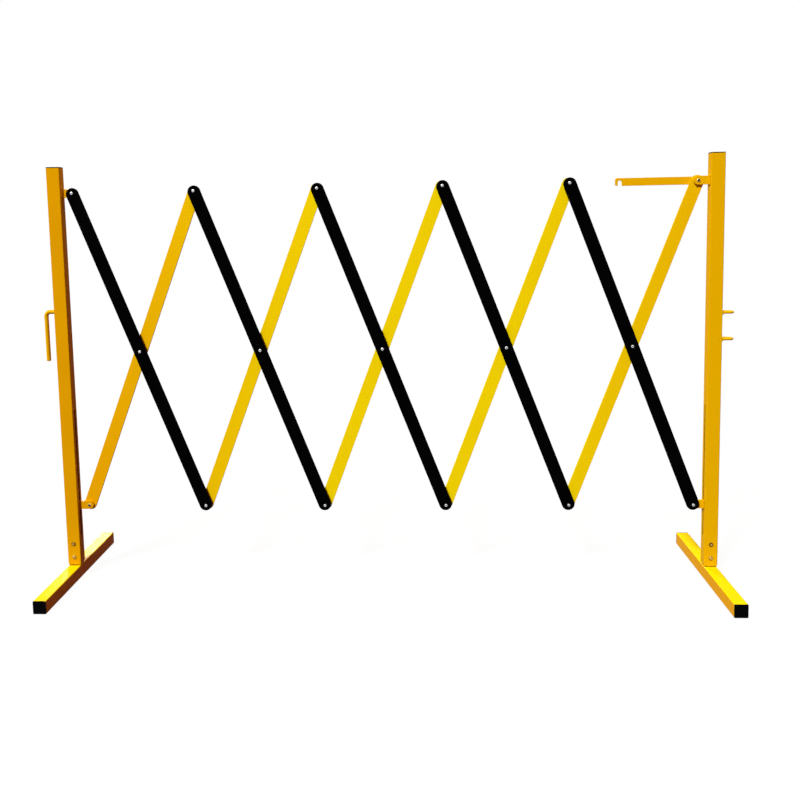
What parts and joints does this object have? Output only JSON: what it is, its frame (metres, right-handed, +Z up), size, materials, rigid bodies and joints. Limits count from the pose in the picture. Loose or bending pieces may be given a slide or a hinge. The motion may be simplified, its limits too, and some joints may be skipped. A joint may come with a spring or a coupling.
{
  "type": "expanding barricade",
  "caption": "Folding safety barricade: two box-section posts on crossways feet, joined by a scissor lattice of flat bars, with a latch hook and linking pin and eyes.",
  "frame": {"origin": "on the floor, midway between the outer ends of the linking pin and the linking eyes, at mid depth", "axes": "+X along the barricade from the linking pin to the eyes, +Y from front (black bars) to back (yellow bars), +Z up"},
  "size_m": [1.6244, 0.4, 1],
  "materials": {
    "amber_paint": "semi-gloss powder coat, amber yellow",
    "yellow_paint": "semi-gloss powder coat, yellow",
    "black_paint": "semi-gloss powder coat, black",
    "black_plastic": "moulded, fine grain",
    "zinc": "bright zinc plate"
  },
  "bodies": {
    "left_post": {"post_tube_left": "amber_paint", "post_cap_left": "black_plastic", "foot_tube_left": "yellow_paint", "foot_cap_left_front": "black_plastic", "foot_cap_left_back": "black_plastic", "foot_stub_left": "amber_paint", "foot_screw_left_lower": "zinc", "foot_screw_left_upper": "zinc", "top_bracket_left": "amber_paint", "link_pin": "amber_paint", "latch_stud": "zinc"},
    "right_post": {"post_tube_right": "amber_paint", "post_cap_right": "black_plastic", "foot_tube_right": "yellow_paint", "foot_cap_right_front": "black_plastic", "foot_cap_right_back": "black_plastic", "foot_stub_right": "amber_paint", "foot_screw_right_lower": "zinc", "foot_screw_right_upper": "zinc", "top_bracket_right": "amber_paint", "link_eye_upper": "amber_paint", "link_eye_lower": "amber_paint", "latch_bolt": "zinc", "latch_spacer": "zinc", "latch_nut": "zinc"},
    "latch": {"latch_hook": "yellow_paint"},
    "black_1": {"black_bar_1": "black_paint", "rivet_middle_1": "zinc", "rivet_bottom_1": "zinc"},
    "yellow_1": {"yellow_bar_1": "yellow_paint"},
    "black_2": {"black_bar_2": "black_paint", "rivet_middle_2": "zinc", "rivet_top_1": "zinc", "rivet_bottom_2": "zinc"},
    "yellow_2": {"yellow_bar_2": "yellow_paint"},
    "black_3": {"black_bar_3": "black_paint", "rivet_middle_3": "zinc", "rivet_top_2": "zinc", "rivet_bottom_3": "zinc"},
    "yellow_3": {"yellow_bar_3": "yellow_paint"},
    "black_4": {"black_bar_4": "black_paint", "rivet_middle_4": "zinc", "rivet_top_3": "zinc", "rivet_bottom_4": "zinc"},
    "yellow_4": {"yellow_bar_4": "yellow_paint"},
    "black_5": {"black_bar_5": "black_paint", "rivet_middle_5": "zinc", "rivet_top_4": "zinc"},
    "yellow_5": {"yellow_bar_5": "yellow_paint"},
    "slide_left": {"slide_bracket_left": "amber_paint", "slider_left": "black_plastic", "rivet_bottom_left": "zinc"},
    "slide_right": {"slide_bracket_right": "amber_paint", "slider_right": "black_plastic", "rivet_bottom_right": "zinc"}
  },
  "joints": [
    {"name": "spread", "type": "hinge", "parent": "left_post", "child": "black_1", "pos_m": [-0.72625, 0, 0.938], "axis": [0, -1, 0], "range_deg": [-18.52, 28.2]},
    {"name": "middle_pivot_1", "type": "hinge", "parent": "black_1", "child": "yellow_1", "pos_m": [-0.581, 0, 0.55887], "axis": [0, -1, 0], "range_deg": [-56.42, 37.06]},
    {"name": "top_pivot_1", "type": "hinge", "parent": "yellow_1", "child": "black_2", "pos_m": [-0.43575, 0, 0.938], "axis": [0, -1, 0], "range_deg": [-37.06, 56.42]},
    {"name": "middle_pivot_2", "type": "hinge", "parent": "black_2", "child": "yellow_2", "pos_m": [-0.2905, 0, 0.55887], "axis": [0, -1, 0], "range_deg": [-56.42, 37.06]},
    {"name": "top_pivot_2", "type": "hinge", "parent": "yellow_2", "child": "black_3", "pos_m": [-0.14525, 0, 0.938], "axis": [0, -1, 0], "range_deg": [-37.06, 56.42]},
    {"name": "middle_pivot_3", "type": "hinge", "parent": "black_3", "child": "yellow_3", "pos_m": [0, 0, 0.55887], "axis": [0, -1, 0], "range_deg": [-56.42, 37.06]},
    {"name": "top_pivot_3", "type": "hinge", "parent": "yellow_3", "child": "black_4", "pos_m": [0.14525, 0, 0.938], "axis": [0, -1, 0], "range_deg": [-37.06, 56.42]},
    {"name": "middle_pivot_4", "type": "hinge", "parent": "black_4", "child": "yellow_4", "pos_m": [0.2905, 0, 0.55887], "axis": [0, -1, 0], "range_deg": [-56.42, 37.06]},
    {"name": "top_pivot_4", "type": "hinge", "parent": "yellow_4", "child": "black_5", "pos_m": [0.43575, 0, 0.938], "axis": [0, -1, 0], "range_deg": [-37.06, 56.42]},
    {"name": "middle_pivot_5", "type": "hinge", "parent": "black_5", "child": "yellow_5", "pos_m": [0.581, 0, 0.55887], "axis": [0, -1, 0], "range_deg": [-56.42, 37.06]},
    {"name": "top_pivot_right", "type": "hinge", "parent": "yellow_5", "child": "right_post", "pos_m": [0.72625, 0, 0.938], "axis": [0, -1, 0], "range_deg": [-18.52, 28.2]},
    {"name": "bottom_pivot_left", "type": "hinge", "parent": "yellow_1", "child": "slide_left", "pos_m": [-0.72625, 0, 0.17974], "axis": [0, -1, 0], "range_deg": [-18.52, 28.2]},
    {"name": "bottom_pivot_right", "type": "hinge", "parent": "black_5", "child": "slide_right", "pos_m": [0.72625, 0, 0.17974], "axis": [0, -1, 0], "range_deg": [-28.2, 18.52]},
    {"name": "latch_turn", "type": "hinge", "parent": "right_post", "child": "latch", "pos_m": [0.72625, 0, 0.938], "axis": [0, -1, 0], "range_deg": [-90, 90]}
  ],
  "couplings": [
    {"joint": "middle_pivot_1", "follows": "spread", "ratio": -2},
    {"joint": "top_pivot_1", "follows": "spread", "ratio": 2},
    {"joint": "middle_pivot_2", "follows": "spread", "ratio": -2},
    {"joint": "top_pivot_2", "follows": "spread", "ratio": 2},
    {"joint": "middle_pivot_3", "follows": "spread", "ratio": -2},
    {"joint": "top_pivot_3", "follows": "spread", "ratio": 2},
    {"joint": "middle_pivot_4", "follows": "spread", "ratio": -2},
    {"joint": "top_pivot_4", "follows": "spread", "ratio": 2},
    {"joint": "middle_pivot_5", "follows": "spread", "ratio": -2},
    {"joint": "top_pivot_right", "follows": "spread", "ratio": 1},
    {"joint": "bottom_pivot_left", "follows": "spread", "ratio": 1},
    {"joint": "bottom_pivot_right", "follows": "spread", "ratio": -1}
  ]
}
